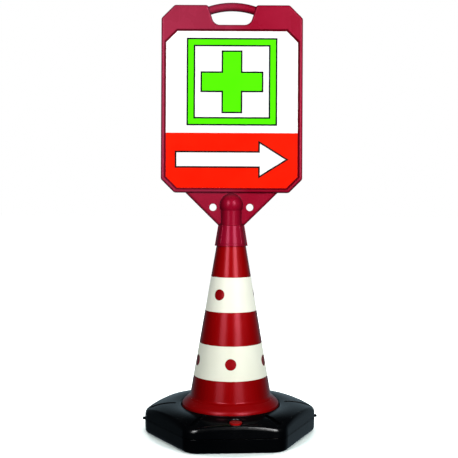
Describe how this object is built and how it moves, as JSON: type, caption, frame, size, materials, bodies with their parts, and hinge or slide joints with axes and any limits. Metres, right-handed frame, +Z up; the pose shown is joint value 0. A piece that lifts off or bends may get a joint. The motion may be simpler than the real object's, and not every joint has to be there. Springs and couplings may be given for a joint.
{
  "type": "portable cone sign",
  "caption": "Portable street sign: a moulded board with a carry handle plugs onto a banded traffic cone that stands in a hexagonal, fillable ballast tank.",
  "frame": {"origin": "on the floor under the cone's axis", "axes": "+Z up along the cone's axis, -Y towards the front of the sign, +X to the right of someone who reads the front"},
  "size_m": [0.4352, 0.3894, 1.0683],
  "materials": {
    "tank_plastic": "glossy black blow-moulded polyethylene",
    "sand": "settled dry sand",
    "plug_plastic": "red moulded plastic",
    "seal_rubber": "black flat rubber",
    "cone_plastic": "satin red moulded plastic",
    "band_film": "satin cream-white plastic",
    "rivet_plastic": "satin red moulded plastic",
    "cap_plastic": "black moulded plastic",
    "ring_plastic": "black moulded plastic",
    "zinc_steel": "zinc-plated steel",
    "bush_plastic": "natural plain-bearing plastic",
    "sign_plastic": "satin crimson blow-moulded polyethylene",
    "print_sheet": "printed white plastic sheet"
  },
  "bodies": {
    "stand": {"base_tank": "tank_plastic", "ballast": "sand", "cone_body": "cone_plastic", "upper_band": "band_film", "lower_band": "band_film", "upper_rivets": "rivet_plastic", "lower_rivets": "rivet_plastic", "upper_rivet_caps": "cap_plastic", "lower_rivet_caps": "cap_plastic", "clamp_ring": "ring_plastic", "clamp_screws": "zinc_steel", "clamp_washers": "zinc_steel"},
    "bush": {"socket_bush": "bush_plastic"},
    "sign": {"sign_body": "sign_plastic", "front_print": "print_sheet", "rear_print": "print_sheet"},
    "seal": {"plug_seal": "seal_rubber"},
    "plug": {"filler_plug": "plug_plastic"}
  },
  "joints": [
    {"name": "sign_lift", "type": "slide", "parent": "stand", "child": "bush", "axis": [0, 0, 1], "range_m": [0, 0.12]},
    {"name": "sign_turn", "type": "hinge", "parent": "bush", "child": "sign", "pos_m": [0, 0, 0.507], "axis": [0, 0, 1], "continuous": true},
    {"name": "seal_rise", "type": "slide", "parent": "stand", "child": "seal", "axis": [0, 0, 1], "range_m": [0, 0.01]},
    {"name": "plug_turn", "type": "hinge", "parent": "seal", "child": "plug", "pos_m": [0.01177, -0.16832, 0.063], "axis": [0, 0, 1], "range_deg": [0, 900.5]}
  ],
  "couplings": [
    {"joint": "plug_turn", "follows": "seal_rise", "rad_per_m": 1570.8}
  ]
}
